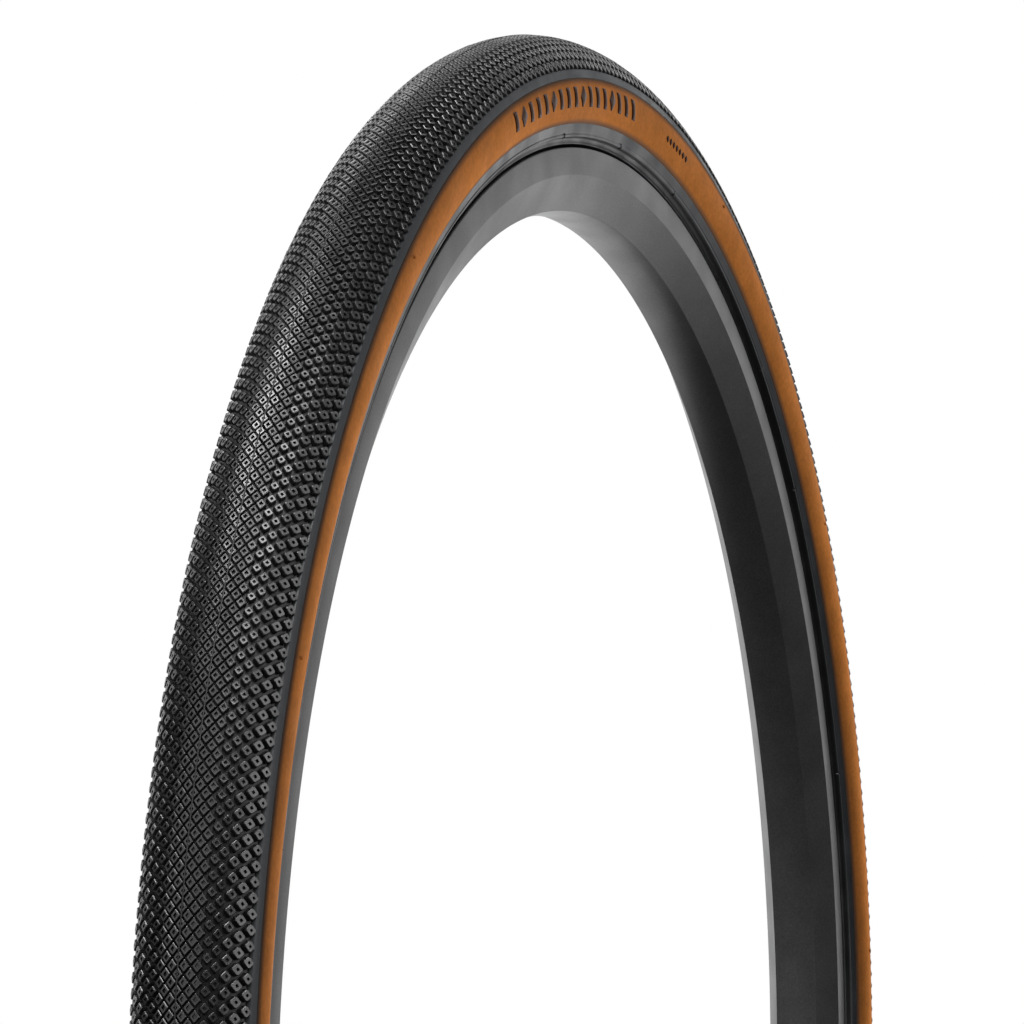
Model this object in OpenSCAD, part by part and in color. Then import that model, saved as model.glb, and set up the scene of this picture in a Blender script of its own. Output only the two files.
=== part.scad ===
// Bicycle tire of nominal size 38-584, seated and inflated on a plain undrilled rim hoop.
// The wheel turns about the Y axis, the origin is the wheel's centre and the valve is at the bottom.
// Hoops are drawn as half sections: x is the distance outwards from the bead seat, y runs along the axle.
// "near" is the -Y side and "far" is the +Y side.

/* [Tire] */
// Diameter of the rim's bead seat
bead_seat_d = 584; // [559:1:622]
// Width over the sidewalls
section_d = 36; // [35.8:0.1:36.2]
// Distance from the bead seat to the centre of the section
section_rise = 21.9; // [21.7:0.1:22.1]
// Height of the tread blocks
block_h = 1.2; // [1:0.1:1.6]
// Thickness of one casing ply
ply_t = 0.5; // [0.45:0.01:0.52]
// Diameter of the bead core
bead_core_d = 2.5; // [2.2:0.1:2.6]

/* [Rim] */
// Height of the flange above the bead seat
flange_h = 5.5; // [5.2:0.1:5.6]
// Width of the rim at the crease of its wall
rim_w = 25.6; // [25:0.1:26]
// Width of the bed that faces the hub
bed_w = 14.4; // [14:0.1:15]
// Distance from the bead seat to the innermost point of the bed
bed_depth = 15.4; // [15:0.1:17]
// Radius of the valve hole
valve_hole_r = 3.25; // [3.15:0.05:3.4]

/* [Valve] */
// Radius of the stem
stem_r = 3; // [2.9:0.05:3]
// Radius of the stem's tip, which a pump head grips
tip_r = 2.6; // [2.55:0.05:2.7]
// Length of the stem
stem_len = 39.5; // [38:0.5:48]
// Radius of the lock ring
lock_ring_r = 6; // [5:0.5:6.5]
// How far the plunger can be pressed in
press_travel = 1.5; // [1:0.1:1.6]

/* [Hidden] */
$fn = 96;

near = -1;
far = 1;
gap = 0.02;                          // between layers that are bonded together
bead_r = bead_seat_d / 2;

// Tread and casing section
section_r = section_d / 2;
top_r = section_r - 0.7 + block_h;    // the tops of the tread blocks
center_floor_r = section_r - 0.7;    // the floor between the blocks of the crown
shoulder_floor_r = section_r - 1.1;  // the deeper floor between the blocks of the shoulders
casing_rise = section_rise - 1;      // the casing circle sits lower, so the crown is thicker than the walls
casing_r = section_r - 1;
belt_t = 0.3;
belt_edge = 40;                      // angles are measured from the crown
cushion_t = 0.5;                     // over the belt, thinning to the shoulder
cushion_edge_t = 0.2;
center_edge = 19;
shoulder_edge = 64.8;
wing_edge = 75;
sidewall_edge = 121;
center_rows = [for (k = [-3:3]) 5.35 * k];
center_row_halves = [for (row = center_rows) 2.1];
shoulder_rows = [23.7, 31.2, 40.1, 49.8, 60.1];
shoulder_row_halves = [3.3, 3.3, 4.1, 4.7, 4.2];

// Lower sidewall and bead
bead = [2.6, 7];                     // centre of the bead core
bead_core_r = bead_core_d / 2;
wrap_r = bead_core_r + gap + ply_t;
lean = lean_angle();                 // where the straight leg of the ply leaves the casing circle
crown_start = 1.5;                   // the first corner of a ply beside the crown
up_leg = [sin(lean), -cos(lean)];    // unit vector from the bead up the leg
out_leg = [cos(lean), sin(lean)];    // unit vector from the leg to the outside
wrap_top = 4;                        // height along the leg at which the turn-up ends
outer_ply_end = 5;                   // the same for the outer ply's edge

// Tube and rim
tube_wall = 0.9;
tube_r = casing_r - 2 * ply_t - 0.1;
neck = [1.5, 4.3];                   // height and radius of the tube's fold between the beads
well_depth = 4;
tape_t = 0.5;
flange_in = 9.9;                     // half the width between the flanges
shelf_in = 6.2;                      // half the distance between the two bead shelves
bed_rise = 1.4;                      // how far the bed bulges towards the hub

// Valve, along z from the bead seat towards the hub
stem_z = 0.5;
stem_end = stem_z + stem_len;
stem_bore = 2;
tip_len = 9;
core_len = 12.7;
core_head = [2.35, 2.5];             // radius and height
pin_r = 0.75;
seal = [1.6, 1.6];
nut_z = stem_end + core_head[1] + press_travel + 0.4;
nut_h = 3.2;
pin_end = nut_z + nut_h + 1.4;
ring_z = bed_depth + 0.25;
ring_h = 4;

// Angle from the crown at which a line from the bead core touches the plies' middle circle
function lean_angle() =
    let (down = casing_rise - bead[0], middle = casing_r - ply_t,
         away = sqrt(down * down + bead[1] * bead[1]))
    180 - atan2(bead[1], down) - acos(middle / away);

function mirrored(points) =
    concat(points, [for (i = [len(points) - 1:-1:0]) [points[i][0], -points[i][1]]]);

// Point on the section, at a distance from the section's centre
function skin_point(angle, r) = [section_rise, 0] + r * [cos(angle), sin(angle)];

// Point on a circle about the casing's centre, on the ray that leaves the section's centre at an angle
function casing_point(angle, r) =
    let (lift = section_rise - casing_rise,
         reach = sqrt(r * r - pow(lift * sin(angle), 2)) - lift * cos(angle))
    skin_point(angle, reach);

// Angles from one to another in steps of about two degrees
function sweep(from, to) =
    let (steps = ceil(abs(to - from) / 2.2)) [for (i = [0:steps]) from + (to - from) * i / steps];

function arc(middle, r, from, to, steps = 36) =
    [for (i = [0:steps]) let (a = from + (to - from) * i / steps) middle + r * [cos(a), sin(a)]];

function on_leg(along, across) = bead + along * up_leg + across * out_leg;

module hoop() {
    rotate([-90, 0, 0]) rotate_extrude($fn = 180) translate([bead_r, 0]) children();
}

// Keeps the drawing's far half, or turns it over for the near side
module on_side(side) {
    if (side == far) children();
    else mirror([0, 1]) children();
}

function cushion_at(angle) =
    lookup(abs(angle), [[belt_edge, cushion_t], [shoulder_edge, cushion_edge_t]]);

// Outline of the rings that stand for rows of tread blocks, from one row to the next
function row_outline(rows, halves, floor_r) = [for (i = [0:len(rows) - 1])
    let (start = rows[i] - halves[i], end = rows[i] + halves[i])
    each [skin_point(start, floor_r), skin_point(start, top_r), skin_point(rows[i], top_r),
          skin_point(end, top_r), skin_point(end, floor_r)]];

module tread_section(from, to, rows, halves, floor_r) {
    polygon(concat([skin_point(from, floor_r)], row_outline(rows, halves, floor_r), [skin_point(to, floor_r)],
        [for (a = sweep(to, from)) casing_point(a, casing_r + cushion_at(a) + gap)]));
}

// Skin of rubber on the casing, out to the full width of the section
module skin_section(from, to) {
    polygon(concat([for (a = sweep(from, to)) skin_point(a, section_r)],
        [for (a = sweep(to, from)) casing_point(a, casing_r + gap)]));
}

module tread_center() {
    color([0.12, 0.12, 0.125]) hoop()
        tread_section(-center_edge, center_edge, center_rows, center_row_halves, center_floor_r);
}

module tread_shoulder(side) {
    color([0.12, 0.12, 0.125]) hoop() on_side(side)
        tread_section(center_edge + 0.1, shoulder_edge - 0.1, shoulder_rows, shoulder_row_halves,
                      shoulder_floor_r);
}

// The smooth strip of tread rubber between the last blocks and the tan sidewall
module tread_edge(side) {
    color([0.17, 0.18, 0.19]) hoop() on_side(side) skin_section(shoulder_edge, wing_edge - 0.05);
}

// Rubber cushion under the tread, with room for the belt
module undertread() {
    edge = shoulder_edge - 0.1;
    over_belt = casing_r + belt_t + 3 * gap;
    color([0.1, 0.1, 0.1]) hoop() polygon(concat(
        [for (a = sweep(-edge, edge)) casing_point(a, casing_r + cushion_at(a))],
        [for (a = sweep(edge, belt_edge + 0.2)) casing_point(a, casing_r + gap)],
        [for (a = sweep(belt_edge + 0.1, -belt_edge - 0.1)) casing_point(a, over_belt)],
        [for (a = sweep(-belt_edge - 0.2, -edge)) casing_point(a, casing_r + gap)]));
}

module puncture_belt() {
    color([0.75, 0.66, 0.3]) hoop() polygon(concat(
        [for (a = sweep(-belt_edge, belt_edge)) casing_point(a, casing_r + gap + belt_t)],
        [for (a = sweep(belt_edge, -belt_edge)) casing_point(a, casing_r + gap)]));
}

// Far half of a layer of plies: over the crown on the outside, down the leg and back on the inside
function ply_half(r_out, r_in, end) =
    concat(arc([casing_rise, 0], r_out, crown_start, lean), end, arc([casing_rise, 0], r_in, lean, crown_start));

// The fold round the bead core, with its turn-up
function fold(grow) =
    concat([on_leg(wrap_top, grow)], arc(bead, wrap_r + grow, lean, lean + 180),
           [on_leg(wrap_top, -ply_t - grow)]);

module casing_outer_ply() {
    color([0.62, 0.52, 0.38]) hoop() polygon(mirrored(ply_half(casing_r, casing_r - ply_t + gap,
        [on_leg(outer_ply_end, ply_t), on_leg(outer_ply_end, gap)])));
}

module casing_inner_ply() {
    color([0.7, 0.6, 0.44]) hoop() difference() {
        polygon(mirrored(ply_half(casing_r - ply_t, casing_r - 2 * ply_t, fold(0))));
        for (side = [near, far]) translate([bead[0], side * bead[1]]) circle(bead_core_r + gap);
    }
}

module bead_core(side) {
    color([0.72, 0.72, 0.7]) hoop() on_side(side) translate(bead) circle(bead_core_r);
}

module sidewall(side) {
    color([0.72, 0.42, 0.17]) hoop() on_side(side) skin_section(wing_edge + 0.05, sidewall_edge - 0.05);
}

// The strip of black rubber that guards the bead, from the tan sidewall round the heel and toe
module chafer(side) {
    edge = [cos(sidewall_edge), sin(sidewall_edge)];
    lip = [[8.7, 14], [8.2, 13.3], [7.2, 12.9], [6.4, 12.9], [6.2, 12.2], [6.2, 11], [5.8, 10.4],
           [5.15, 9.85]];
    heel_and_toe = [[0.6, 9.85], [0.05, 9.3], [0.05, 5.9], [0.4, 4.9], [1.5, 4.55], [3, 4.7]];
    color([0.27, 0.29, 0.31]) hoop() on_side(side) difference() {
        polygon(concat([[section_rise, 0] + section_r * edge], lip, heel_and_toe,
            [on_leg(0.2, -2.2), on_leg(4.2, -1), on_leg(6.5, -ply_t),
             [casing_rise, 0] + (casing_r - ply_t) * edge]));
        polygon(ply_half(casing_r + gap, casing_r - 2 * ply_t - gap,
            concat([on_leg(outer_ply_end - gap, ply_t + gap), on_leg(outer_ply_end - gap, gap)], fold(gap))));
    }
}

module tube_section(inset) {
    translate([casing_rise, 0]) circle(tube_r - inset);
    translate([neck[0], 0]) circle(neck[1] - inset);
    polygon(mirrored([[8.3, 9 - 1.4 * inset], [2.7, 4.05 - inset]]));
}

module valve() { translate([0, 0, -bead_r]) children(); }

module inner_tube() {
    color([0.09, 0.09, 0.09]) difference() {
        hoop() difference() {
            tube_section(0);
            tube_section(tube_wall);
        }
        valve() translate([0, 0, -2]) cylinder(r = stem_r + gap, h = 7);
    }
}

module rim_outline() {
    crease = 8.5;
    bed_r = (pow(bed_w / 2, 2) + bed_rise * bed_rise) / (2 * bed_rise);
    intersection() {
        polygon(mirrored([[-bed_depth - 1, bed_w / 2 - 0.95], [crease - 11.5, rim_w / 2],
                          [flange_h - 0.3, rim_w / 2 - 0.55], [flange_h, rim_w / 2 - 0.9],
                          [flange_h, flange_in + 0.3], [flange_h - 0.3, flange_in], [0, flange_in],
                          [0, shelf_in], [-well_depth, 4.5]]));
        translate([bed_r - bed_depth, 0]) circle(bed_r);
    }
}

module rim() {
    color([0.5, 0.5, 0.5]) difference() {
        hoop() difference() {
            rim_outline();
            polygon(mirrored([[2.1 - bed_depth, bed_w / 2 - 1.4], [-3.4, rim_w / 2 - 1.5],
                              [-1.8, rim_w / 2 - 1.8], [-1.8, shelf_in + 0.6], [-well_depth - 1.5, 4.6]]));
        }
        valve() cylinder(r = valve_hole_r, h = bed_depth + 3);
    }
}

module rim_tape() {
    slope = tape_t * 1.1;
    color([0.16, 0.3, 0.55]) difference() {
        hoop() polygon(mirrored([[gap - well_depth, 4.45], [-1.1, 5.7], [-1.1, 5.7 - slope],
                                 [tape_t - well_depth, 4.45 - tape_t]]));
        valve() cylinder(r = stem_r + 0.1, h = 6);
    }
}

// Rubber washer that joins the stem to the tube
module valve_pad() {
    color([0.1, 0.1, 0.1]) valve() translate([0, 0, neck[1] - neck[0] + 0.05]) difference() {
        cylinder(r = 3.85, h = 0.6);
        translate([0, 0, -1]) cylinder(r = stem_r + gap, h = 3);
    }
}

module valve_stem() {
    color([0.78, 0.76, 0.72]) valve() translate([0, 0, stem_z]) difference() {
        union() {
            cylinder(r = stem_r, h = stem_len - tip_len);
            cylinder(r = tip_r, h = stem_len);
        }
        translate([0, 0, -1]) cylinder(r = stem_bore, h = stem_len + 2);
    }
}

module valve_core() {
    color([0.8, 0.7, 0.42]) valve() difference() {
        union() {
            translate([0, 0, stem_end - core_len]) cylinder(r = stem_bore - gap, h = core_len + 0.5);
            translate([0, 0, stem_end + gap]) cylinder(r = core_head[0], h = core_head[1]);
        }
        translate([0, 0, stem_end - core_len - 1]) cylinder(r = pin_r + 0.08, h = core_len + 6);
        for (side = [near, far]) translate([-3, side * 2.55 - 0.55, stem_end + 0.8]) cube([6, 1.1, 3]);
    }
}

// A short cylinder with rounded flutes round its edge
module knurled(r, h, count, flute_r) {
    difference() {
        cylinder(r = r, h = h);
        for (i = [0:count - 1]) rotate(i * 360 / count)
            translate([r + 0.55 * flute_r, 0, -1]) cylinder(r = flute_r, h = h + 2, $fn = 24);
    }
}

module valve_lock_ring() {
    color([0.78, 0.76, 0.72]) valve() translate([0, 0, ring_z]) difference() {
        union() {
            knurled(lock_ring_r, ring_h - 1, 20, 0.6);
            cylinder(r = lock_ring_r - 1.3, h = ring_h);
        }
        translate([0, 0, -1]) cylinder(r = stem_r + 0.05, h = ring_h + 2);
    }
}

module valve_plunger() {
    seat = stem_end - core_len;
    color([0.8, 0.7, 0.42]) valve() union() {
        translate([0, 0, seat - seal[1] - 0.8]) cylinder(r = 1.2, h = 0.6 - gap);
        translate([0, 0, seat - seal[1] - 0.5]) cylinder(r = pin_r, h = pin_end - seat + seal[1] + 0.5);
        translate([0, 0, pin_end - 0.1]) cylinder(r1 = pin_r + 0.2, r2 = pin_r - 0.2, h = 0.6);
    }
}

module plunger_seal() {
    color([0.1, 0.1, 0.1]) valve() translate([0, 0, stem_end - core_len - seal[1] - 0.2]) difference() {
        cylinder(r = seal[0], h = seal[1]);
        translate([0, 0, -1]) cylinder(r = pin_r + gap, h = seal[1] + 2);
    }
}

module valve_tip_nut() {
    color([0.8, 0.7, 0.42]) valve() translate([0, 0, nut_z]) difference() {
        union() {
            knurled(2.25, 1.8, 14, 0.32);
            cylinder(r = 1.65, h = nut_h);
        }
        translate([0, 0, -1]) cylinder(r = pin_r + 0.06, h = nut_h + 2);
    }
}

tread_center();
tread_shoulder(near);  // tread_shoulder_near
tread_shoulder(far);  // tread_shoulder_far
tread_edge(near);  // tread_edge_near
tread_edge(far);  // tread_edge_far
undertread();
puncture_belt();
casing_outer_ply();
casing_inner_ply();
sidewall(near);  // sidewall_near
sidewall(far);  // sidewall_far
chafer(near);  // chafer_near
chafer(far);  // chafer_far
bead_core(near);  // bead_core_near
bead_core(far);  // bead_core_far
inner_tube();
rim();
rim_tape();
valve_pad();
valve_stem();
valve_core();
valve_lock_ring();
valve_plunger();
plunger_seal();
valve_tip_nut();
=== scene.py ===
import math

import bmesh
import bpy
import numpy as np
from mathutils import Matrix, Vector


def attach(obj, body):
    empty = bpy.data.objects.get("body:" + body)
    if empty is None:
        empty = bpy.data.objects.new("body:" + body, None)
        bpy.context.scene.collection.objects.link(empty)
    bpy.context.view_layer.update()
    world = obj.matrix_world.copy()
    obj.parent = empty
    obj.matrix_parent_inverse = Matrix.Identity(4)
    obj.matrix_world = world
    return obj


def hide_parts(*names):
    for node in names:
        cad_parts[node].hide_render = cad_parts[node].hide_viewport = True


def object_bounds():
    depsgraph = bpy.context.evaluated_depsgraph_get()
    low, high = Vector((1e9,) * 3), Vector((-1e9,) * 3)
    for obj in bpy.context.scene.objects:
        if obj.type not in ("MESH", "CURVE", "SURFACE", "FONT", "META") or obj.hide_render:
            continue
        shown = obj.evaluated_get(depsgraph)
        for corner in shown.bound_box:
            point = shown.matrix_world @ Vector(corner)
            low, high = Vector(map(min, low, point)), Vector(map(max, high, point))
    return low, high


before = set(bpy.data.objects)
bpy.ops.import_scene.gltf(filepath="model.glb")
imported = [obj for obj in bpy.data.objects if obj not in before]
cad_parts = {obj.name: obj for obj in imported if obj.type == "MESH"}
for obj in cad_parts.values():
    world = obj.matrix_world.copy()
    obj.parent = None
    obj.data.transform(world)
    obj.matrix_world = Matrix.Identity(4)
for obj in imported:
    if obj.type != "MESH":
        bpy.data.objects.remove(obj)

cad_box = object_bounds()

# The section is measured in millimetres: r outwards from the axle, y along it. Angles round the
# section start at the crown, and angles round the wheel start at +X and pass the top at 90 degrees.
MM = 0.001
ROOT = "tire_on_rim"
NEAR, FAR = -1, 1
SIDES = ((NEAR, "near"), (FAR, "far"))
BEAD_R = 292.0                  # the bead seat, from the axle
SECTION_R = BEAD_R + 21.9       # the middle of the tire's round section, from the axle
# Distances from the middle of the section: smooth skin, floors between the blocks, top of the blocks
SKIN = 18.0
FLOOR_OF_TREAD = 17.3
SHOULDER_FLOOR = 16.85
BLOCK_TOP = 18.5
# Where the center rows, the shoulder rows, the smooth strip and the tan skin end, in degrees
CENTER_EDGE, SHOULDER_EDGE, WING_EDGE, SIDEWALL_EDGE = 19.0, 64.8, 75.0, 121.0
PITCHES = 480                   # blocks in one row round the wheel
PITCH = 360 / PITCHES
RING_STEPS = 720                # points of every outline round the wheel
ARC_STEP = 2.0                  # degrees between two points on a round part of the section, at most about
CORNER_STEPS = 5                # points less one on a rounded corner
rng = np.random.default_rng(7)


# ---------------------------------------------------------------- shapes
def place(theta, r, y):
    """Points in metres from degrees round the wheel and millimetres in the section."""
    t = np.radians(theta)
    return np.stack([r * np.cos(t), y + 0 * t, r * np.sin(t)], axis=-1) * MM


def skin(phi, rho):
    """Section point (r, y) at an angle from the crown and a distance from the section's centre."""
    a = np.radians(phi)
    return SECTION_R + rho * np.cos(a), rho * np.sin(a)


def make(name, verts, faces, material, body=ROOT, crease=None, recalc=False):
    """A piece that rides on a body. With crease, it's smooth but for edges sharper than crease degrees."""
    mesh = bpy.data.meshes.new(name)
    mesh.from_pydata(np.asarray(verts).tolist(), [], [list(f) for f in faces])
    if recalc:
        bm = bmesh.new()
        bm.from_mesh(mesh)
        bmesh.ops.recalc_face_normals(bm, faces=bm.faces)
        bm.to_mesh(mesh)
        bm.free()
    mesh.validate()
    obj = bpy.data.objects.new(name, mesh)
    bpy.context.scene.collection.objects.link(obj)
    mesh.materials.append(material)
    if crease is not None:
        mesh.shade_smooth()
        mesh.set_sharp_from_angle(angle=math.radians(crease))
    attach(obj, body)
    return obj


def rounded(points):
    """A closed outline from (r, y, radius) corners, each radius above 0 rounded."""
    out = []
    n = len(points)
    for i, (r, y, radius) in enumerate(points):
        here = np.array([r, y])
        if radius <= 0:
            out.append(tuple(here))
            continue
        before = np.array(points[i - 1][:2]) - here
        after = np.array(points[(i + 1) % n][:2]) - here
        lb, la = np.linalg.norm(before), np.linalg.norm(after)
        before, after = before / lb, after / la
        half = math.acos(np.clip(before @ after, -1, 1)) / 2
        cut = min(radius / math.tan(half), 0.45 * lb, 0.45 * la)
        start, end = here + before * cut, here + after * cut
        for k in range(CORNER_STEPS + 1):
            t = k / CORNER_STEPS
            out.append(tuple((1 - t) ** 2 * start + 2 * t * (1 - t) * here + t * t * end))
    return out


def hoop(name, outline, material, crease=30):
    """A closed section outline turned round the axle."""
    outline = np.array(outline)
    m = len(outline)
    theta = np.arange(RING_STEPS) * 360 / RING_STEPS
    verts = place(theta[:, None], outline[:, 0], outline[:, 1]).reshape(-1, 3)
    faces = []
    for i in range(RING_STEPS):
        a, b = i * m, ((i + 1) % RING_STEPS) * m
        for j in range(m):
            k = (j + 1) % m
            faces.append((a + j, a + k, b + k, b + j))
    return make(name, verts, faces, material, crease=crease, recalc=True)


def mirrored(half):
    """The far half of a section outline, closed with its mirror image."""
    return list(half) + [(r, -y) for r, y in reversed(half) if abs(y) > 1e-6]


# ---------------------------------------------------------------- materials
NOISE_SPAN = (0.25, 0.75)       # where nearly all of a noise texture's values lie


def ramp(tree, value, start, end, low=0.0, high=1.0):
    """A value's smooth way from low at start to high at end."""
    node = tree.nodes.new("ShaderNodeMapRange")
    node.interpolation_type = "SMOOTHSTEP"
    node.inputs["From Min"].default_value = start
    node.inputs["From Max"].default_value = end
    node.inputs["To Min"].default_value = low
    node.inputs["To Max"].default_value = high
    tree.links.new(value, node.inputs["Value"])
    return node.outputs["Result"]


def material(name, color, roughness, metallic=0.0, specular=0.5, detail=(), bump=(), rough_var=None,
             fades=()):
    """A procedural finish.

    detail: (scale, amount) for each layer of brightness variation. rough_var: (scale, amount) for the
    roughness. bump: (scale, height in mm) for each layer of relief. fades: (radius where it starts,
    radius where it ends, the color it ends in), with the radii in mm from the axle."""
    m = bpy.data.materials.new(name)
    m.use_nodes = True
    nt = m.node_tree
    bsdf = nt.nodes["Principled BSDF"]
    bsdf.inputs["Metallic"].default_value = metallic
    bsdf.inputs["Roughness"].default_value = roughness
    bsdf.inputs["Specular IOR Level"].default_value = specular
    bsdf.inputs["Base Color"].default_value = (*color, 1)
    where = nt.nodes.new("ShaderNodeTexCoord").outputs["Object"]
    base = None
    for scale, amount in detail:
        noise = nt.nodes.new("ShaderNodeTexNoise")
        noise.inputs["Scale"].default_value = scale
        noise.inputs["Detail"].default_value = 4
        noise.inputs["Roughness"].default_value = 0.6
        nt.links.new(where, noise.inputs["Vector"])
        bright = ramp(nt, noise.outputs["Fac"], *NOISE_SPAN, 1 - amount, 1 + amount)
        mix = nt.nodes.new("ShaderNodeVectorMath")
        mix.operation = "SCALE"
        if base is None:
            mix.inputs[0].default_value = color
        else:
            nt.links.new(base, mix.inputs[0])
        nt.links.new(bright, mix.inputs["Scale"])
        base = mix.outputs["Vector"]
    for start, end, shade in fades:
        apart = nt.nodes.new("ShaderNodeVectorMath")
        apart.operation = "MULTIPLY"
        apart.inputs[1].default_value = (1, 0, 1)
        nt.links.new(where, apart.inputs[0])
        radius = nt.nodes.new("ShaderNodeVectorMath")
        radius.operation = "LENGTH"
        nt.links.new(apart.outputs["Vector"], radius.inputs[0])
        mix = nt.nodes.new("ShaderNodeMix")
        mix.data_type = "RGBA"
        nt.links.new(base, mix.inputs["A"])
        mix.inputs["B"].default_value = (*shade, 1)
        nt.links.new(ramp(nt, radius.outputs["Value"], start * MM, end * MM), mix.inputs["Factor"])
        base = mix.outputs["Result"]
    if base is not None:
        nt.links.new(base, bsdf.inputs["Base Color"])
    if rough_var:
        scale, amount = rough_var
        noise = nt.nodes.new("ShaderNodeTexNoise")
        noise.inputs["Scale"].default_value = scale
        nt.links.new(where, noise.inputs["Vector"])
        rough = ramp(nt, noise.outputs["Fac"], *NOISE_SPAN, roughness - amount, roughness + amount)
        nt.links.new(rough, bsdf.inputs["Roughness"])
    normal = None
    for scale, height in bump:
        noise = nt.nodes.new("ShaderNodeTexNoise")
        noise.inputs["Scale"].default_value = scale
        nt.links.new(where, noise.inputs["Vector"])
        node = nt.nodes.new("ShaderNodeBump")
        node.inputs["Strength"].default_value = 1
        node.inputs["Distance"].default_value = height * MM
        nt.links.new(noise.outputs["Fac"], node.inputs["Height"])
        if normal is not None:
            nt.links.new(normal, node.inputs["Normal"])
        normal = node.outputs["Normal"]
    if normal is not None:
        nt.links.new(normal, bsdf.inputs["Normal"])
    return m


tread_mat = material("tread_rubber", (0.016, 0.016, 0.0165), 0.34, specular=0.8,
                     detail=[(60, 0.25), (900, 0.25)], rough_var=(150, 0.08), bump=[(2500, 0.05)])
floor_of_tread_mat = material("tread_floor", (0.012, 0.012, 0.0125), 0.5, specular=0.4,
                              detail=[(60, 0.25), (900, 0.2)], bump=[(2000, 0.04)])
edge_mat = material("edge_rubber", (0.043, 0.047, 0.053), 0.5, detail=[(40, 0.12), (1500, 0.12)],
                    rough_var=(90, 0.08), bump=[(2200, 0.03)])
# Painted shade: the tan fades to dark brown towards the smooth strip and towards the bead strip, where
# shade falls on the side.
tan_mat = material("tan_rubber", (0.58, 0.195, 0.035), 0.72, specular=0.1,
                   detail=[(14, 0.10), (90, 0.10), (700, 0.10)], rough_var=(60, 0.06),
                   bump=[(700, 0.04), (3000, 0.02)],
                   fades=[(316.0, 318.6, (0.09, 0.05, 0.03)), (306.6, 304.8, (0.20, 0.10, 0.055))])
# Painted shade: the bead strip turns nearly black below the lip's ridge, where it lies in shade under the
# lip and round the rim's flange.
chafer_mat = material("chafer_rubber", (0.024, 0.027, 0.031), 0.36, detail=[(50, 0.12), (1800, 0.12)],
                      rough_var=(70, 0.1), bump=[(2200, 0.03)],
                      fades=[(300.9, 300.3, (0.009, 0.0095, 0.0105))])
# Painted shade: the raised marks are coloured dark brown to stand in for the shade that falls on their
# sloping sides.
relief_mat = material("tan_relief", (0.075, 0.028, 0.012), 0.35, specular=0.12,
                      detail=[(14, 0.10), (300, 0.06)], bump=[(700, 0.04)])
nickel_mat = material("valve_nickel", (0.55, 0.54, 0.51), 0.26, metallic=1.0,
                      detail=[(300, 0.06), (2500, 0.08)], rough_var=(600, 0.08), bump=[(4000, 0.004)])
brass_mat = material("valve_brass", (0.56, 0.42, 0.17), 0.3, metallic=1.0,
                     detail=[(400, 0.08), (2500, 0.08)], rough_var=(600, 0.08), bump=[(4000, 0.004)])
cushion_mat = material("cushion_rubber", (0.014, 0.014, 0.014), 0.6, detail=[(60, 0.15)],
                       bump=[(900, 0.03)])
tube_mat = material("tube_rubber", (0.02, 0.02, 0.021), 0.45, detail=[(50, 0.15), (900, 0.1)],
                    rough_var=(120, 0.1), bump=[(1500, 0.02)])
wire_mat = material("bead_wire", (0.52, 0.5, 0.46), 0.35, metallic=1.0, detail=[(80, 0.1), (1500, 0.1)],
                    rough_var=(300, 0.08), bump=[(2500, 0.02)])
rim_mat = material("rim_alloy", (0.075, 0.075, 0.077), 0.34, detail=[(70, 0.10), (1500, 0.25)],
                   rough_var=(60, 0.04), bump=[(1800, 0.02)])


def woven(name, light, dark, roughness, threads):
    """Cloth: fine waves of thread along X and Z, light on top and dark between them."""
    m = material(name, light, roughness, rough_var=(150, 0.06))
    nt = m.node_tree
    bsdf = nt.nodes["Principled BSDF"]
    where = nt.nodes.new("ShaderNodeTexCoord").outputs["Object"]
    heights = []
    for axis in ("X", "Z"):
        wave = nt.nodes.new("ShaderNodeTexWave")
        wave.bands_direction = axis
        wave.inputs["Scale"].default_value = threads
        wave.inputs["Distortion"].default_value = 0.6
        nt.links.new(where, wave.inputs["Vector"])
        heights.append(wave.outputs["Fac"])
    top = nt.nodes.new("ShaderNodeMath")
    top.operation = "MAXIMUM"
    nt.links.new(heights[0], top.inputs[0])
    nt.links.new(heights[1], top.inputs[1])
    mix = nt.nodes.new("ShaderNodeMix")
    mix.data_type = "RGBA"
    mix.inputs["A"].default_value = (*dark, 1)
    mix.inputs["B"].default_value = (*light, 1)
    nt.links.new(top.outputs["Value"], mix.inputs["Factor"])
    nt.links.new(mix.outputs["Result"], bsdf.inputs["Base Color"])
    bump = nt.nodes.new("ShaderNodeBump")
    bump.inputs["Strength"].default_value = 1
    bump.inputs["Distance"].default_value = 0.05 * MM
    nt.links.new(top.outputs["Value"], bump.inputs["Height"])
    nt.links.new(bump.outputs["Normal"], bsdf.inputs["Normal"])
    return m


ply_mat = woven("ply_fabric", (0.5, 0.4, 0.25), (0.3, 0.22, 0.12), 0.7, 400)
belt_mat = woven("belt_fabric", (0.62, 0.5, 0.16), (0.36, 0.28, 0.08), 0.6, 300)
tape_mat = woven("tape_cloth", (0.05, 0.14, 0.38), (0.03, 0.08, 0.24), 0.65, 500)


# ---------------------------------------------------------------- tread
CORNERS = 8                     # of one ring of a block
BLOCK_SPREAD = 0.012            # how much the blocks differ in height, in mm
LEAN_SPREAD = 0.010             # how much their tops lean, in mm for each mm


def diamond(a, b, cut):
    """Eight corners of a rhombus with its corners cut, a half-diagonal across and b along the tread."""
    corners = [np.array(c, float) for c in ((a, 0), (0, b), (-a, 0), (0, -b))]
    out = []
    for i, c in enumerate(corners):
        before, after = corners[i - 1], corners[(i + 1) % 4]
        out += [c + cut * (before - c), c + cut * (after - c)]
    return np.array(out)


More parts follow.
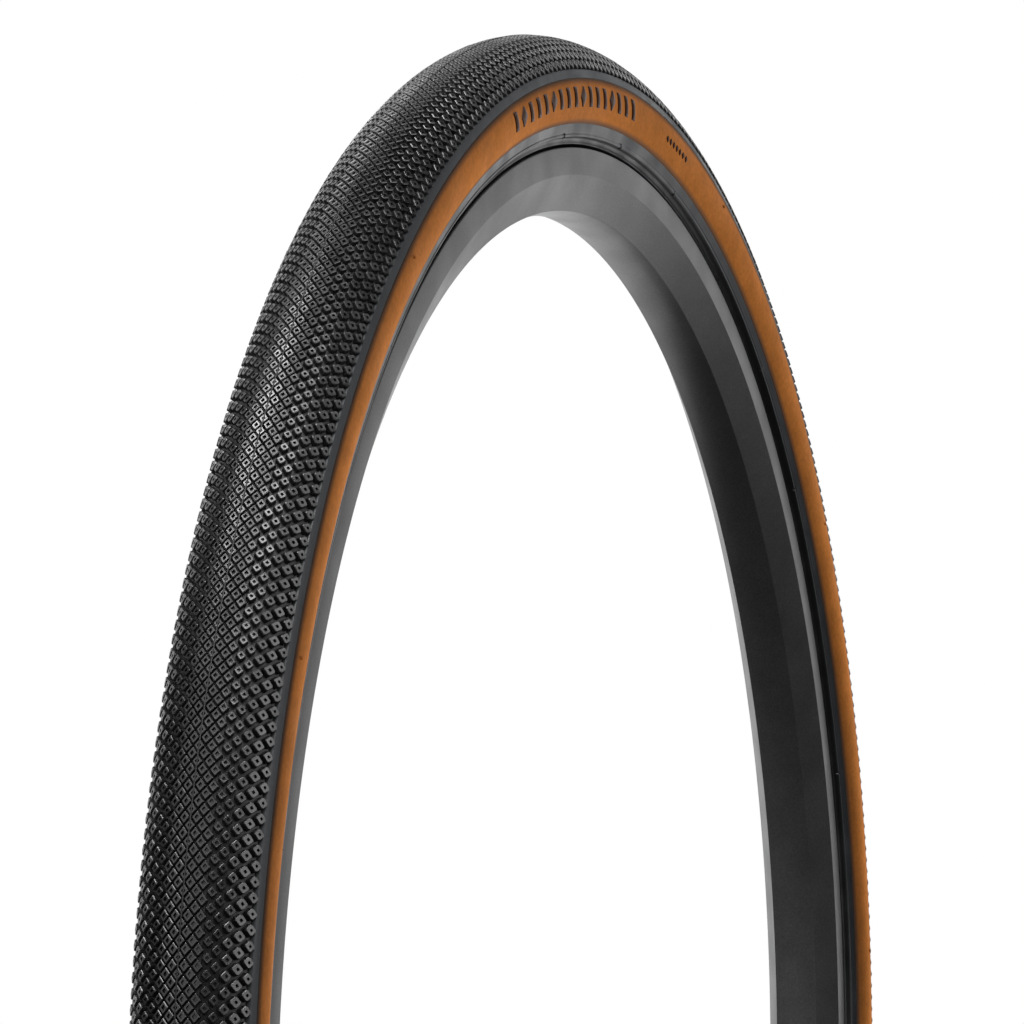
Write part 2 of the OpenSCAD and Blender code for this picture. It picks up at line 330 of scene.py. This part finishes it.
def block_levels(a, b, top, dimple, floor, cut):
    """The rings of one block, from its foot up over its edge and down into its dimple: (points, rho)."""
    bevel, depth, draft, buried, dish = 0.17, 0.8, 0.22, 0.12, 0.02
    shape = diamond(a, b, cut)
    size = a * b / math.hypot(a, b)
    foot, edge = 1 + draft / size, 1 - bevel / size
    return [(shape * foot, floor - buried), (shape, top - bevel), (shape * edge, top),
            (shape * dimple, top - dish), (shape * dimple * 0.82, top - depth)]


def add_blocks(groups, side, phi, phase, levels, top):
    """One row of blocks round the wheel, added to the two halves of the wheel in groups.

    u runs across the tread and v along it, in mm from the middle of the block."""
    size = len(levels) * CORNERS
    theta0 = (np.arange(PITCHES) + phase) * PITCH
    u = np.concatenate([p[:, 0] for p, _ in levels])
    v = np.concatenate([p[:, 1] for p, _ in levels])
    rho = np.concatenate([np.full(CORNERS, h) for _, h in levels])
    r_top = SECTION_R + top * math.cos(math.radians(phi))
    tip = rng.normal(0, BLOCK_SPREAD, (PITCHES, 1))
    lean_u = rng.normal(0, LEAN_SPREAD, (PITCHES, 1))
    lean_v = rng.normal(0, LEAN_SPREAD, (PITCHES, 1))
    raised = rho > FLOOR_OF_TREAD + 0.1
    h = rho + raised * (tip + lean_u * u + lean_v * v)
    ang = side * (phi + np.degrees(u / top))
    r, y = skin(ang, h)
    theta = theta0[:, None] + np.degrees(v / r_top)
    pts = place(theta, r, y)
    faces = []
    for base in range(0, size - CORNERS, CORNERS):
        above = base + CORNERS
        for i in range(CORNERS):
            j = (i + 1) % CORNERS
            faces.append((base + i, base + j, above + j, above + i))
    faces += [tuple(reversed(range(CORNERS))), tuple(range(size - CORNERS, size))]
    if side == FAR:
        faces = [tuple(reversed(f)) for f in faces]
    for half in (0, 1):
        verts, out = groups[half]
        for n in range(half * PITCHES // 2, (half + 1) * PITCHES // 2):
            base = len(verts) * size
            verts.append(pts[n])
            out.extend(tuple(base + i for i in f) for f in faces)


def build_blocks(name, rows):
    """Rows of blocks, as one piece for each half of the wheel."""
    groups = [([], []), ([], [])]
    for side, phi, phase, a, b, top, dimple, floor, cut in rows:
        add_blocks(groups, side, phi, phase, block_levels(a, b, top, dimple, floor, cut), top)
    for tag, (verts, faces) in zip("ab", groups):
        make(f"{name}_{tag}", np.concatenate(verts), faces, tread_mat)


# Rows: angle, phase in pitches, half width, half length, top, dimple, floor, corner cut.
# The center rows lie CENTER_STEP degrees apart, every second one (k % 2) shifted by half a pitch.
CENTER_STEP = 5.35
center = [(k * CENTER_STEP, 0.5 * (k % 2), 1.42, 1.79, BLOCK_TOP, 0.46, FLOOR_OF_TREAD, 0.07)
          for k in range(-3, 4)]
shoulder = [
    (23.7, 0.0, 1.42, 1.52, 18.45, 0.42, SHOULDER_FLOOR, 0.12),
    (31.2, 0.5, 1.45, 1.58, 18.45, 0.40, SHOULDER_FLOOR, 0.12),
    (40.1, 0.0, 1.72, 1.72, 18.48, 0.38, SHOULDER_FLOOR, 0.14),
    (49.8, 0.5, 1.98, 1.84, 18.52, 0.34, SHOULDER_FLOOR, 0.15),
    (60.3, 0.0, 1.92, 1.78, 18.55, 0.32, SHOULDER_FLOOR, 0.15),
]
build_blocks("tread_center_blocks", [(FAR, *row) for row in center])
for side, word in SIDES:
    build_blocks(f"tread_shoulder_blocks_{word}", [(side, *row) for row in shoulder])


def arc(start, end, rho):
    """Section points along a round part of the section, from one angle to another."""
    n = max(2, int(abs(end - start) / ARC_STEP) + 1)
    return [skin(a, rho) for a in np.linspace(start, end, n)]


def tread_floor(name, start, end, top, under):
    """The rubber between the blocks: a closed strip on the casing."""
    return hoop(name, arc(start, end, top) + arc(end, start, under), floor_of_tread_mat)


center_base = tread_floor("tread_center_base", -CENTER_EDGE, CENTER_EDGE, FLOOR_OF_TREAD, 16.6)
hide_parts("tread_center")
# The mould's parting line: a low ridge along the crown, 0.4 mm wide at its foot
line = math.degrees(0.2 / BLOCK_TOP)
hoop("parting_line", [skin(-line, 17.0), skin(-line, BLOCK_TOP + 0.02), skin(-line * 0.4, BLOCK_TOP + 0.12),
                      skin(line * 0.4, BLOCK_TOP + 0.12), skin(line, BLOCK_TOP + 0.02), skin(line, 17.0)],
     cushion_mat)
for side, word in SIDES:
    base = tread_floor(f"tread_shoulder_base_{word}", side * (CENTER_EDGE + 0.05),
                       side * (SHOULDER_EDGE + 0.5), SHOULDER_FLOOR, 16.4)
    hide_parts(f"tread_shoulder_{word}")


# ---------------------------------------------------------------- side of the tire
def side_outline(points, side):
    """A section outline drawn for the far side, turned over where the near side asks for it."""
    return [(r, side * y) for r, y in points]


# The smooth strip: a rounded step up from the floor of the tread, then flush with the tan skin
edge_outline = ([skin(SHOULDER_EDGE - 1.2, SHOULDER_FLOOR - 0.1),
                 skin(SHOULDER_EDGE - 0.6, SHOULDER_FLOOR + 0.4),
                 skin(SHOULDER_EDGE + 0.4, SKIN - 0.2), skin(SHOULDER_EDGE + 1.2, SKIN - 0.03)]
                + arc(SHOULDER_EDGE + 3, WING_EDGE - 1.6, SKIN)
                + [skin(WING_EDGE - 0.5, SKIN - 0.01), skin(WING_EDGE, SKIN - 0.16)]
                + arc(WING_EDGE, SHOULDER_EDGE - 1.2, 16.5))
# The tan skin, from the smooth strip down to the bead strip
tan_outline = ([skin(WING_EDGE, SKIN - 0.16), skin(WING_EDGE + 0.4, SKIN - 0.02)]
               + arc(WING_EDGE + 1.2, 119.5, SKIN)
               + [skin(SIDEWALL_EDGE - 0.5, SKIN + 0.02), skin(SIDEWALL_EDGE, SKIN - 0.05)]
               + arc(SIDEWALL_EDGE, WING_EDGE, 17.3))


def chafer_section():
    """The bead strip: down the side, over the moulded lip, round the rim's flange and back up inside.

    The points are measured outwards from the bead seat."""
    top = skin(SIDEWALL_EDGE, SKIN - 0.05)
    path = [(12.2, 15.27), (11.2, 14.92), (10.3, 14.62), (9.8, 14.5),
            (9.66, 14.34), (9.5, 14.32), (9.38, 14.46),
            (9.1, 14.46), (8.8, 14.38), (8.6, 14.12), (8.5, 13.5), (8.35, 12.8),
            (8.0, 12.35), (7.4, 12.2), (6.95, 12.3), (6.7, 12.45), (6.5, 12.42), (6.35, 12.2),
            (6.25, 11.8), (6.2, 11.2), (5.8, 10.4),
            (5.15, 9.85), (0.6, 9.85), (0.05, 9.3), (0.05, 5.9), (0.4, 4.9), (1.5, 4.55), (3.0, 4.7),
            (6.0, 8.4), (9.6, 12.4)]
    return [top] + [(BEAD_R + x, y) for x, y in path] + [skin(SIDEWALL_EDGE, 17.45)]


for side, word in SIDES:
    edge = hoop(f"tread_edge_strip_{word}", side_outline(edge_outline, side), edge_mat)
    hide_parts(f"tread_edge_{word}")
    tan = hoop(f"sidewall_skin_{word}", side_outline(tan_outline, side), tan_mat)
    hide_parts(f"sidewall_{word}")
    chafer = hoop(f"chafer_strip_{word}", side_outline(chafer_section(), side), chafer_mat,
                  crease=40)
    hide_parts(f"chafer_{word}")


# ---------------------------------------------------------------- raised marks
def surface_grid(rows):
    """Quads over rows of equally many vertices, with the outline of the grid closed underneath."""
    n, m = len(rows), len(rows[0])
    verts = np.concatenate([np.asarray(row) for row in rows])
    faces = [(i * m + j, i * m + j + 1, (i + 1) * m + j + 1, (i + 1) * m + j)
             for i in range(n - 1) for j in range(m - 1)]
    outline = (list(range(m)) + [i * m + m - 1 for i in range(1, n)]
               + [(n - 1) * m + j for j in range(m - 2, -1, -1)] + [i * m for i in range(n - 2, 0, -1)])
    return verts, faces + [tuple(reversed(outline))]


def raised_mark(theta, phi, side, half_height, half_width, height, bevel, slant=0.0):
    """A bevelled pad on the side of the tire.

    half_width gives its half width at a place along its height, from -1 to 1. The edge of its top
    lies lower than the middle by drop, and its foot is buried in the skin by as much."""
    drop, draft, margin = 0.2, 0.3, 0.35 / half_height
    flat = 1 - bevel / half_height
    rows = []
    for level in [-1 - margin, -1] + list(np.linspace(-1, 1, 9) * flat) + [1, 1 + margin]:
        v = level * half_height
        w = half_width(float(np.clip(level, -1, 1)))
        inner = max(w - bevel, 0.25 * w)
        u = np.array([-w - draft, -w, -inner, inner, w, w + draft])
        lift = np.array([-drop, height - drop, height, height, height - drop, -drop])
        if abs(level) > flat + 1e-6:
            lift = np.minimum(lift, height - drop if abs(level) <= 1 + 1e-6 else -drop)
        ang = phi - np.degrees(v / SKIN)
        r, y = skin(ang, SKIN + lift)
        t = theta + np.degrees((u + slant * v) / r)
        rows.append(place(t, r, side * y))
    return surface_grid(rows)


def joined(name, parts, mat, crease=25):
    """Many small shapes, each given by its vertices and faces, as one piece."""
    verts, faces, base = [], [], 0
    for v, f in parts:
        verts.append(v)
        faces.extend(tuple(base + i for i in face) for face in f)
        base += len(v)
    return make(name, np.concatenate(verts), faces, mat, crease=crease, recalc=True)


def bar(width):
    return lambda level: width


def lozenge(width):
    return lambda level: width * (1.0 - 0.9 * abs(level))


# The marks' place on the side and their pitch round the wheel, in degrees, and their height in mm
LONG_ROW_PHI, LONG_ROW_PITCH, LONG_ROW_HEIGHT = 93.5, 1.38, 0.45
SHORT_ROW_PHI, SHORT_ROW_PITCH, SHORT_ROW_HEIGHT = 95.8, 0.65, 0.35


def generic_marks(side):
    """A long row of slanted bars and lozenges and a short one of lozenges, twice round the wheel."""
    marks = []
    for start in (86.9, 266.9):
        for k in range(17):
            theta = start + LONG_ROW_PITCH * k
            if k % 4 == 3:
                marks.append(raised_mark(theta, LONG_ROW_PHI, side, 3.0, lozenge(2.6), LONG_ROW_HEIGHT,
                                         bevel=1.6))
            else:
                marks.append(raised_mark(theta, LONG_ROW_PHI, side, 3.0, bar(1.3), LONG_ROW_HEIGHT,
                                         slant=0.35, bevel=1.0))
    for start in (75.9, 255.9):
        for k in range(7):
            marks.append(raised_mark(start + SHORT_ROW_PITCH * k, SHORT_ROW_PHI, side, 1.0, lozenge(1.1),
                                     SHORT_ROW_HEIGHT, bevel=0.5))
    return marks


NUB_PHI, NUB_SIDES = 86.0, 12
NUB_RINGS = ((0.6, -0.15), (0.5, 0.08), (0.46, 0.32), (0.34, 0.44), (0.12, 0.47))     # radius, height


def vent_nub(theta, side):
    """The trimmed stub of a mould vent: a small round peg on the tan skin."""
    turn = np.arange(NUB_SIDES) * 2 * math.pi / NUB_SIDES
    r0, _ = skin(NUB_PHI, SKIN)
    rings = []
    for q, h in NUB_RINGS:
        r, y = skin(NUB_PHI - np.degrees(q * np.sin(turn) / SKIN), SKIN + h)
        rings.append(place(theta + np.degrees(q * np.cos(turn) / r0), r, side * y))
    faces = []
    for base in range(0, (len(rings) - 1) * NUB_SIDES, NUB_SIDES):
        above = base + NUB_SIDES
        faces += [(base + j, base + (j + 1) % NUB_SIDES, above + (j + 1) % NUB_SIDES, above + j)
                  for j in range(NUB_SIDES)]
    top = (len(rings) - 1) * NUB_SIDES
    return np.concatenate(rings), faces + [tuple(range(top, top + NUB_SIDES)),
                                           tuple(reversed(range(NUB_SIDES)))]


# The outside of the lip, measured from the bead seat, and its radius round the wheel
LIP_PATH = np.array([(9.95, 14.5), (9.4, 14.44), (9.05, 14.44), (8.72, 14.3), (8.5, 14.0), (8.35, 13.5)])
LIP_R = 301.0
# Across a ridge of flash: place along the lip and height over it
RIDGE = ((-0.28, -0.15), (-0.13, 0.14), (0.0, 0.24), (0.13, 0.14), (0.28, -0.15))


def lip_ridge(theta, side):
    """A short ridge of flash where one of the mould's vents crossed the lip."""
    return surface_grid([place(theta + math.degrees(u / LIP_R), BEAD_R + LIP_PATH[:, 0] - 0.4 * lift,
                               side * (LIP_PATH[:, 1] + lift)) for u, lift in RIDGE])


# Twelve nubs round the wheel, left out where they would stand in a row of marks
nub_places = [theta for theta in (154.85 + 30.3 * k for k in range(12)) if not 84 < theta % 180 < 114]
for side, word in SIDES:
    joined(f"sidewall_marks_{word}", generic_marks(side), relief_mat)
    joined(f"vent_nubs_{word}", [vent_nub(theta, side) for theta in nub_places], tan_mat,
           crease=50)
    flash = np.random.default_rng(21 if side == NEAR else 22)
    ridge_places = ([98.4, 87.1, 75.6, 53.2, 42.1, 19.9, 163.9]
                    + [186 + 15.2 * k + flash.uniform(-3, 3) for k in range(12)])
    joined(f"lip_flash_{word}", [lip_ridge(theta, side) for theta in ridge_places], chafer_mat,
           crease=60)

# ---------------------------------------------------------------- rim
# The far half of the section: the well and the bead seat, the flange and the outside, and the face
# towards the hub, which is a little rounded. The third number of a corner is its rounding.
outside = [(5.5, 10.2, 0), (5.5, 12.7, 0.6), (-3.0, 12.75, 0.6), (-14.0, 7.2, 0.35)]
hub_face = [(-15.4 + 1.4 * (y / 7.0) ** 2, y) for y in (6.0, 4.8, 3.6, 2.4, 1.2, 0.0)]
outer = rounded([(BEAD_R - 4.0, 4.5, 0), (BEAD_R, 6.2, 0), (BEAD_R, 9.9, 0), (BEAD_R + 5.2, 9.9, 0)]
                + [(BEAD_R + x, y, q) for x, y, q in outside]
                + [(BEAD_R + x, y, 0) for x, y in hub_face])
rim = hoop("rim_hoop", mirrored(outer), rim_mat, crease=50)
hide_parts("rim")


# ---------------------------------------------------------------- valve
# It stands at the bottom of the wheel, so the hub lies above it. Heights are in millimetres from the
# bead seat towards the hub, and profiles are (height, radius) points.
def turned(name, heights, radius, mat, slot, body=ROOT, steps=64, crease=35):
    """A closed profile turned round the valve. radius(angle, height) gives each point's radius."""
    heights = np.asarray(heights, float)
    angle = np.arange(steps) * 2 * math.pi / steps
    r = radius(angle[:, None], heights[None, :]) + np.zeros((steps, len(heights)))
    pts = np.stack([r * np.cos(angle)[:, None], r * np.sin(angle)[:, None],
                    np.broadcast_to(heights, r.shape) - BEAD_R], axis=-1).reshape(-1, 3) * MM
    m = len(heights)
    faces = []
    for i in range(steps):
        a, b = i * m, ((i + 1) % steps) * m
        faces += [(a + j, b + j, b + (j + 1) % m, a + (j + 1) % m) for j in range(m)]
    return make(name, pts, faces, mat, body=body, crease=crease, recalc=True)


def profile(points):
    """The heights and radii of a closed profile, ready for turned()."""
    radii = np.array([p[1] for p in points])[None, :]
    return [p[0] for p in points], lambda angle, height: radii


def knurled(points, count, depth, outside):
    """A turned profile whose points beyond the radius outside are fluted."""
    radii = np.array([p[1] for p in points])[None, :]
    grip = (radii > outside) * 1.0

    def radius(angle, height):
        flute = (0.5 + 0.5 * np.cos(count * angle)) ** 2
        return radii - depth * grip * (1 - flute)
    return [p[0] for p in points], radius


def thread(height, angle, start, end, pitch, depth, runout=0.8):
    """How far a thread's surface lies below its crest. It fades out over runout at either end."""
    phase = (height / pitch - angle / (2 * math.pi)) % 1
    tooth = np.clip(1.6 * (1 - np.abs(2 * phase - 1)) - 0.3, 0, 1)
    fade = np.clip(np.minimum(height - start, end - height) / runout, 0, 1)
    return depth * (1 - tooth) * fade


# The stem: a threaded shank up to SHOULDER_H, then the narrower threaded tip that a pump grips
STEM_R, TIP_R, BORE_R, SHOULDER_H = 3.0, 2.6, 2.0, 30.5
stem_heights = ([0.5] + list(np.arange(0.5, 30.4, 0.16)) + [30.6, 31.0] + list(np.arange(31.1, 39.6, 0.15))
                + [39.75, 40.0, 40.0])


def stem_crest(height):
    """The radius of the stem over its threads."""
    for below, radius in ((SHOULDER_H, STEM_R), (30.7, TIP_R + 0.1), (39.7, TIP_R), (39.9, TIP_R - 0.1)):
        if height < below:
            return radius
    return TIP_R - 0.3


stem_radii = np.array([BORE_R] + [stem_crest(h) for h in stem_heights[1:-1]] + [BORE_R])


def stem_radius(angle, height):
    cut = thread(height, angle, 1.0, 30.4, 0.8, 0.3) + thread(height, angle, 31.5, 39.7, 0.75, 0.2)
    cut[:, 0] = cut[:, -1] = 0
    return stem_radii[None, :] - cut


stem = turned("valve_stem_threaded", stem_heights, stem_radius, nickel_mat, "valve_nickel",
              steps=40, crease=60)
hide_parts("valve_stem")

# The core's head, with two flats for a wrench
HEAD_FROM, HALF_FLATS = 40.81, 2.0
core_points = [(27.3, 0.83), (27.3, 1.98), (40.02, 1.98), (40.02, 2.2), (40.12, 2.35), (40.8, 2.35),
               (40.82, 2.34), (42.3, 2.34), (42.52, 2.12), (42.52, 0.95), (42.4, 0.83)]
core_radii = np.array([q for _, q in core_points])[None, :]


def core_radius(angle, height):
    flat = HALF_FLATS / np.maximum(np.abs(np.sin(angle)), 0.3)
    on_head = (height > HEAD_FROM) & (core_radii > HALF_FLATS)
    return np.where(on_head, np.minimum(core_radii, flat), core_radii)


core = turned("valve_core_head", [h for h, _ in core_points], core_radius, brass_mat, "valve_brass",
              steps=96, crease=30)
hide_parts("valve_core")

ring_points = [(15.65, 3.05), (15.65, 5.2), (15.85, 5.7), (16.15, 6.0), (18.3, 6.0), (18.6, 5.7),
               (18.75, 5.1), (18.8, 4.75), (19.45, 4.65), (19.65, 4.4), (19.65, 3.3), (19.5, 3.05)]
ring = turned("valve_lock_ring_knurled", *knurled(ring_points, 20, 0.42, 5.5), nickel_mat, "valve_nickel",
              body="lock_ring", steps=240, crease=28)
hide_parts("valve_lock_ring")

nut_points = [(44.4, 0.81), (44.4, 1.9), (44.5, 2.12), (44.65, 2.25), (45.95, 2.25), (46.12, 2.1),
              (46.2, 1.8), (46.22, 1.62), (47.4, 1.62), (47.6, 1.4), (47.6, 0.95), (47.5, 0.81)]
nut = turned("valve_tip_nut_knurled", *knurled(nut_points, 14, 0.2, 2.05), brass_mat, "valve_brass",
             body="tip_nut", steps=168, crease=28)
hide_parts("valve_tip_nut")

# The plunger: a seal plate, the pin, the thread the tip nut runs on, and a rounded end
pin_heights = [24.9, 24.9, 25.48, 25.48] + list(np.arange(25.6, 48.9, 0.1)) + [49.0, 49.4, 49.5, 49.5]
pin_radii = np.array([0.02, 1.2, 1.2, 0.75] + [0.75] * (len(pin_heights) - 8)
                     + [0.8, 0.72, 0.6, 0.02])[None, :]


def pin_radius(angle, height):
    cut = thread(height, angle, 42.8, 48.8, 0.4, 0.09, 0.3)
    return pin_radii - cut * (pin_radii > 0.7)


pin = turned("valve_plunger_pin", pin_heights, pin_radius, brass_mat, "valve_brass", body="plunger",
             steps=24, crease=50)
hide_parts("valve_plunger")

# The valve hole in the rim, with its edge broken
hole_points = [(2.0, 0.02), (2.0, 3.25), (15.15, 3.25), (15.6, 3.7), (18.0, 3.7), (18.0, 0.02)]
hole = turned("valve_hole_cutter", *profile(hole_points), rim_mat, "rim_alloy")
drill = rim.modifiers.new("hole", "BOOLEAN")
drill.operation, drill.object, drill.solver = "DIFFERENCE", hole, "EXACT"
bpy.context.view_layer.update()
drilled = bpy.data.meshes.new_from_object(rim.evaluated_get(bpy.context.evaluated_depsgraph_get()))
rim.modifiers.clear()
rim.data = drilled
drilled.set_sharp_from_angle(angle=math.radians(50))
bpy.data.objects.remove(hole)

# ---------------------------------------------------------------- CAD pieces that keep their own shape
for node, mat in (("undertread", cushion_mat), ("puncture_belt", belt_mat), ("casing_outer_ply", ply_mat),
                  ("casing_inner_ply", ply_mat), ("bead_core_near", wire_mat), ("bead_core_far", wire_mat),
                  ("inner_tube", tube_mat), ("rim_tape", tape_mat), ("valve_pad", tube_mat),
                  ("plunger_seal", tube_mat)):
    for material_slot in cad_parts[node].material_slots:
        material_slot.material = mat

# ---------------------------------------------------------------- camera
CAMERA_AT, LENS, SENSOR = (-1.7008, -0.53865, 0.10691), 200.52, 36
YAW, PITCH_UP, ROLL = 0.3156, 0.0436, 0.0014        # radians
look = Vector((math.cos(YAW) * math.cos(PITCH_UP), math.sin(YAW) * math.cos(PITCH_UP), math.sin(PITCH_UP)))
right = look.cross(Vector((0, 0, 1))).normalized()
up = right.cross(look)
right, up = math.cos(ROLL) * right + math.sin(ROLL) * up, math.cos(ROLL) * up - math.sin(ROLL) * right
camera = bpy.data.objects.new("camera", bpy.data.cameras.new("camera"))
bpy.context.scene.collection.objects.link(camera)
camera.matrix_world = (Matrix.Translation(Vector(CAMERA_AT))
                       @ Matrix((right, up, -look)).transposed().to_4x4())
camera.data.sensor_width, camera.data.lens = SENSOR, LENS
camera.data.clip_start, camera.data.clip_end = 0.05, 60
bpy.context.scene.camera = camera

# ---------------------------------------------------------------- floor and light
FLOOR_R, FLOOR_SIDES, FLOOR_GAP = 3.0, 96, 0.0004     # metres
floor_mat = material("floor", (0.85, 0.85, 0.85), 0.9, specular=0.1, detail=[(3, 0.01)])
# A sheet of paper lit by painted light: it glows a little near the wheel and turns white further off
paper = floor_mat.node_tree
from_middle = paper.nodes.new("ShaderNodeVectorMath")
from_middle.operation = "LENGTH"
paper.links.new(paper.nodes.new("ShaderNodeTexCoord").outputs["Object"], from_middle.inputs[0])
glow = ramp(paper, from_middle.outputs["Value"], 0.4, 1.3, 0.45, 1.0)
paper_shader = paper.nodes["Principled BSDF"]
paper_shader.inputs["Emission Color"].default_value = (1, 1, 1, 1)
paper.links.new(glow, paper_shader.inputs["Emission Strength"])
angles = np.linspace(0, 2 * math.pi, FLOOR_SIDES, endpoint=False)
disc = [(FLOOR_R * math.cos(a), FLOOR_R * math.sin(a), cad_box[0].z - FLOOR_GAP) for a in angles]
floor_mesh = bpy.data.meshes.new("floor")
floor_mesh.from_pydata(disc, [], [tuple(range(FLOOR_SIDES))])
floor_mesh.materials.append(floor_mat)
floor = bpy.data.objects.new("floor", floor_mesh)
bpy.context.scene.collection.objects.link(floor)
floor.visible_diffuse = floor.visible_glossy = floor.visible_shadow = False


def softbox(name, at, toward, size, power, diffuse=True, glossy=True):
    """A square light, which can be left out of the diffuse or the glossy reflections."""
    data = bpy.data.lights.new(name, "AREA")
    data.shape, data.size, data.energy = "SQUARE", size, power
    obj = bpy.data.objects.new(name, data)
    bpy.context.scene.collection.objects.link(obj)
    obj.location = at
    obj.rotation_mode = "QUATERNION"
    obj.rotation_quaternion = (Vector(toward) - Vector(at)).to_track_quat("-Z", "Y")
    obj.visible_diffuse, obj.visible_glossy = diffuse, glossy


softbox("overhead", (-0.6, 0.7, 1.9), (-0.1, 0, 0.1), 0.7, 26)
softbox("front", (-2.0, 0.5, 1.2), (0, 0, 0), 3.0, 26)
softbox("crown", (-0.95, -0.7, 1.8), (-0.1, 0, 0.1), 1.0, 32, diffuse=False)
softbox("side", (-0.3, -2.0, 0.7), (0, 0, 0), 1.8, 24, diffuse=False)
softbox("near", (0.1, -2.0, 0.8), (0.1, 0, 0.1), 1.0, 2)
softbox("fill", (2.6, -1.0, -0.5), (0, 0, 0.05), 0.9, 92, glossy=False)

# The camera sees a white room. The wheel is lit by a round white screen behind it, with a soft edge,
# in a room that is nearly dark.
SCREEN_TOWARD = (0.9, 0.43, -0.06)
world = bpy.data.worlds.new("studio")
bpy.context.scene.world = world
world.use_nodes = True
wt = world.node_tree
wt.nodes.clear()
out = wt.nodes.new("ShaderNodeOutputWorld")
seen = wt.nodes.new("ShaderNodeBackground")
seen.inputs["Color"].default_value = (1, 1, 1, 1)
seen.inputs["Strength"].default_value = 1.0
lit = wt.nodes.new("ShaderNodeBackground")
lit.inputs["Strength"].default_value = 1.0
direction = wt.nodes.new("ShaderNodeTexCoord")
off_axis = wt.nodes.new("ShaderNodeVectorMath")
off_axis.operation = "DOT_PRODUCT"
off_axis.inputs[1].default_value = Vector(SCREEN_TOWARD).normalized()
wt.links.new(direction.outputs["Generated"], off_axis.inputs[0])
wt.links.new(ramp(wt, off_axis.outputs["Value"], 0.56, 0.70, 0.055, 1.15), lit.inputs["Color"])
path = wt.nodes.new("ShaderNodeLightPath")
both = wt.nodes.new("ShaderNodeMixShader")
wt.links.new(path.outputs["Is Camera Ray"], both.inputs["Fac"])
wt.links.new(lit.outputs["Background"], both.inputs[1])
wt.links.new(seen.outputs["Background"], both.inputs[2])
wt.links.new(both.outputs["Shader"], out.inputs["Surface"])

view = bpy.context.scene.view_settings
view.view_transform = "Standard"
view.look = "None"
view.exposure = 0
view.gamma = 1
